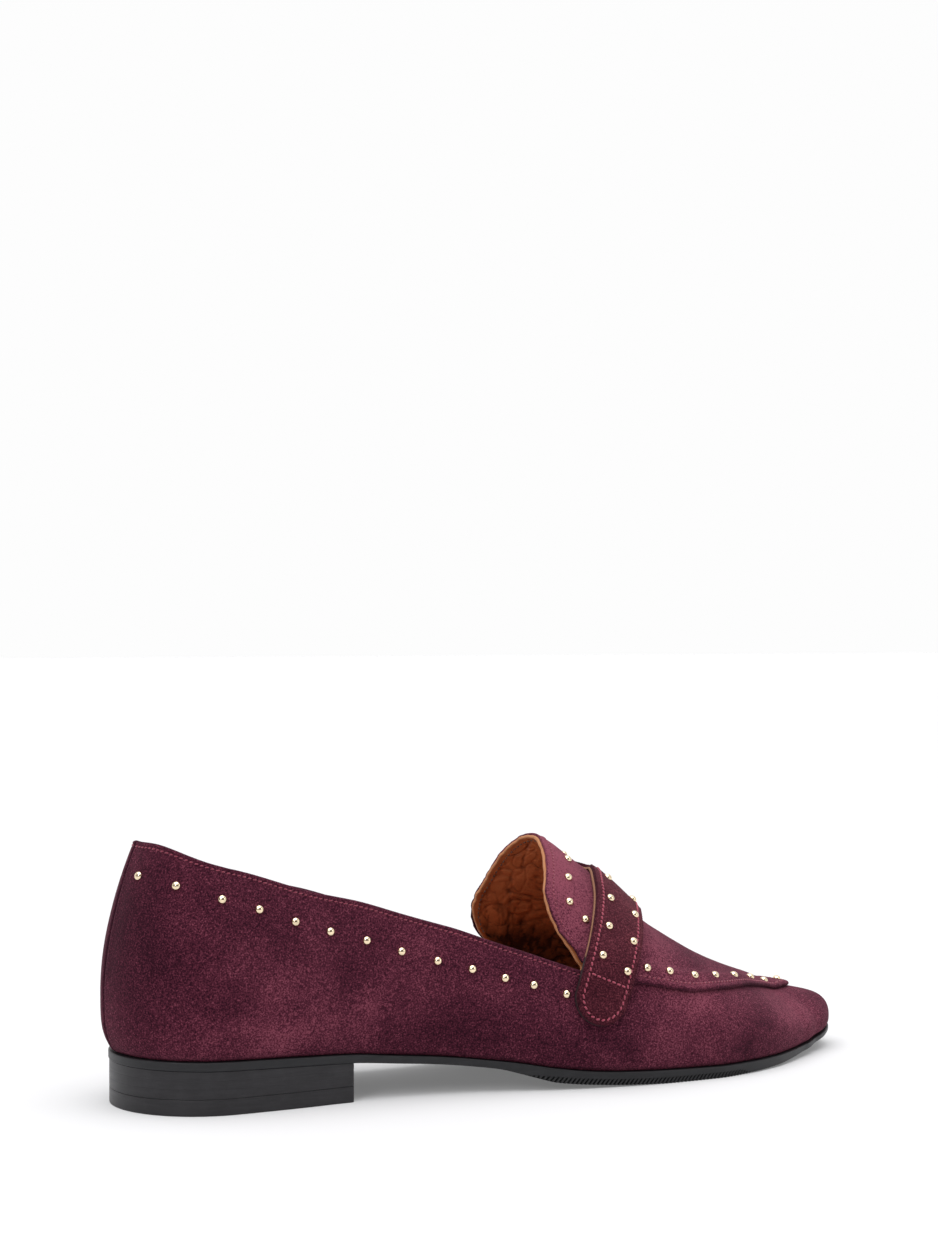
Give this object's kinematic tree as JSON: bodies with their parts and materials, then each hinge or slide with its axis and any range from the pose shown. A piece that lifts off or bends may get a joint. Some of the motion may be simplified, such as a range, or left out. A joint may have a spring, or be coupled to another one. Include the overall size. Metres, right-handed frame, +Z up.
{
  "type": "loafer shoe",
  "caption": "Right-foot slip-on loafer in suede with an arched tongue, lapped apron, studded saddle strap, leather lining, thin rubber sole and long low heel.",
  "frame": {"origin": "middle of the flat rest face of the heel's top piece, on the floor", "axes": "+X to the toe, +Y to the medial side of the right foot, +Z up"},
  "size_m": [0.2653, 0.0855, 0.0814],
  "materials": {
    "upper_suede": "burgundy suede with a soft brushed nap",
    "strap_suede": "darker burgundy suede",
    "strap_backing": "raw-edged tan leather",
    "lining_leather": "wrinkled glossy cognac leather",
    "sole_rubber": "satin black",
    "heel_stack": "satin black with fine level scuffs",
    "stud_metal": "polished pale gold",
    "insole_board": "pressed cellulose board",
    "shank_steel": "plain",
    "filler_cork": "cork granulate",
    "stiffener": "plain thermoplastic sheet"
  },
  "bodies": {
    "root": {"outsole": "sole_rubber", "heel_block": "heel_stack", "heel_top_piece": "sole_rubber", "insole_board": "insole_board", "sock_liner": "lining_leather", "shank": "shank_steel", "bottom_filler": "filler_cork", "heel_counter": "stiffener", "toe_puff": "stiffener", "vamp_lining": "lining_leather", "quarter_lining_lateral": "lining_leather", "quarter_lining_medial": "lining_leather", "wall_suede": "upper_suede", "apron_suede": "upper_suede", "strap_backing": "strap_backing", "strap_suede": "strap_suede", "topline_studs_lateral": "stud_metal", "topline_studs_medial": "stud_metal", "strap_stud_01": "stud_metal", "strap_stud_02": "stud_metal", "strap_stud_03": "stud_metal", "strap_stud_04": "stud_metal", "strap_stud_05": "stud_metal", "strap_stud_06": "stud_metal", "strap_stud_07": "stud_metal", "strap_stud_08": "stud_metal", "strap_stud_09": "stud_metal", "strap_stud_10": "stud_metal", "strap_stud_11": "stud_metal", "strap_stud_12": "stud_metal", "strap_stud_13": "stud_metal", "strap_stud_14": "stud_metal", "strap_stud_15": "stud_metal", "strap_stud_16": "stud_metal", "strap_stud_17": "stud_metal", "strap_stud_18": "stud_metal", "tongue_stud_01": "stud_metal", "tongue_stud_02": "stud_metal", "tongue_stud_03": "stud_metal", "tongue_stud_04": "stud_metal", "tongue_stud_05": "stud_metal", "tongue_stud_06": "stud_metal", "tongue_stud_07": "stud_metal", "tongue_stud_08": "stud_metal", "tongue_stud_09": "stud_metal", "apron_stud_01": "stud_metal", "apron_stud_02": "stud_metal", "apron_stud_03": "stud_metal", "apron_stud_04": "stud_metal", "apron_stud_05": "stud_metal", "apron_stud_06": "stud_metal", "apron_stud_07": "stud_metal", "apron_stud_08": "stud_metal", "apron_stud_09": "stud_metal", "apron_stud_10": "stud_metal", "apron_stud_11": "stud_metal", "apron_stud_12": "stud_metal", "apron_stud_13": "stud_metal", "apron_stud_14": "stud_metal", "apron_stud_15": "stud_metal"}
  },
  "joints": []
}
